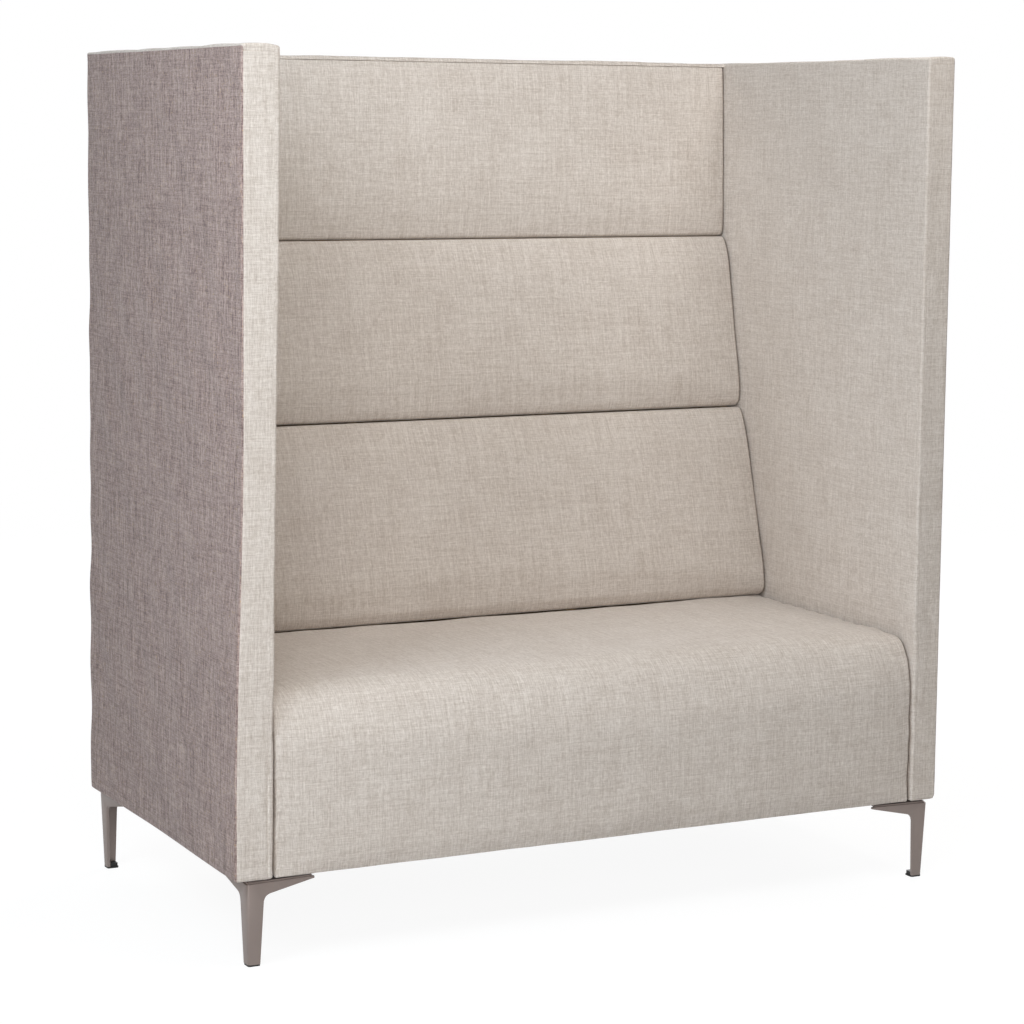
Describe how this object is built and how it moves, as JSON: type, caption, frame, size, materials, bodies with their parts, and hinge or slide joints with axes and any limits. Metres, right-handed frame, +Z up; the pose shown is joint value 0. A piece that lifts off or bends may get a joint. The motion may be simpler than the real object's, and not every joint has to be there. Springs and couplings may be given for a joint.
{
  "type": "high-back two-seat sofa",
  "caption": "High-back upholstered sofa with full-height side wings, raked stacked back pads, a sprung seat and cast angle legs.",
  "frame": {"origin": "on the floor at the middle of the sofa's footprint", "axes": "+Z up, -Y towards the sitter's front, +X to the right seen from the front"},
  "size_m": [1.3, 0.7, 1.42],
  "materials": {
    "light_fabric": "light oatmeal linen-look upholstery weave",
    "dark_fabric": "taupe melange upholstery weave",
    "leg_metal": "satin warm taupe coat",
    "glide_nylon": "black moulded nylon",
    "timber": "planed pine",
    "plywood": "birch plywood",
    "foam": "cut polyurethane foam",
    "black_cloth": "black spunbond cloth",
    "steel": "zinc-plated steel"
  },
  "bodies": {
    "root": {"leg_front_left": "leg_metal", "leg_front_right": "leg_metal", "leg_rear_left": "leg_metal", "leg_rear_right": "leg_metal", "glide_front_left": "glide_nylon", "glide_front_right": "glide_nylon", "glide_rear_left": "glide_nylon", "glide_rear_right": "glide_nylon", "leg_screws": "steel", "seat_front_rail": "timber", "seat_spring_rail": "timber", "seat_left_rail": "timber", "seat_right_rail": "timber", "seat_cross_rail": "timber", "seat_corner_blocks": "timber", "seat_springs": "steel", "spring_clips": "steel", "spring_tie_wires": "steel", "seat_support_cloth": "black_cloth", "seat_foam": "foam", "seat_cover": "light_fabric", "dust_cover": "black_cloth", "back_posts": "timber", "back_rails": "timber", "back_rear_board": "plywood", "back_ribs": "plywood", "back_rear_cover": "dark_fabric", "back_top_border": "light_fabric", "top_pad_board": "plywood", "top_pad_foam": "foam", "top_pad_cover": "light_fabric", "middle_pad_board": "plywood", "middle_pad_foam": "foam", "middle_pad_cover": "light_fabric", "lower_pad_board": "plywood", "lower_pad_foam": "foam", "lower_pad_cover": "light_fabric", "left_wing_front_post": "timber", "left_wing_rear_post": "timber", "left_wing_rails": "timber", "left_wing_inner_board": "plywood", "left_wing_outer_board": "plywood", "left_wing_foam": "foam", "left_wing_inner_cover": "light_fabric", "left_wing_front_border": "light_fabric", "left_wing_top_border": "light_fabric", "left_wing_outer_cover": "dark_fabric", "right_wing_front_post": "timber", "right_wing_rear_post": "timber", "right_wing_rails": "timber", "right_wing_inner_board": "plywood", "right_wing_outer_board": "plywood", "right_wing_foam": "foam", "right_wing_inner_cover": "light_fabric", "right_wing_front_border": "light_fabric", "right_wing_top_border": "light_fabric", "right_wing_outer_cover": "dark_fabric", "wing_bolts": "steel", "wing_t_nuts": "steel"}
  },
  "joints": []
}
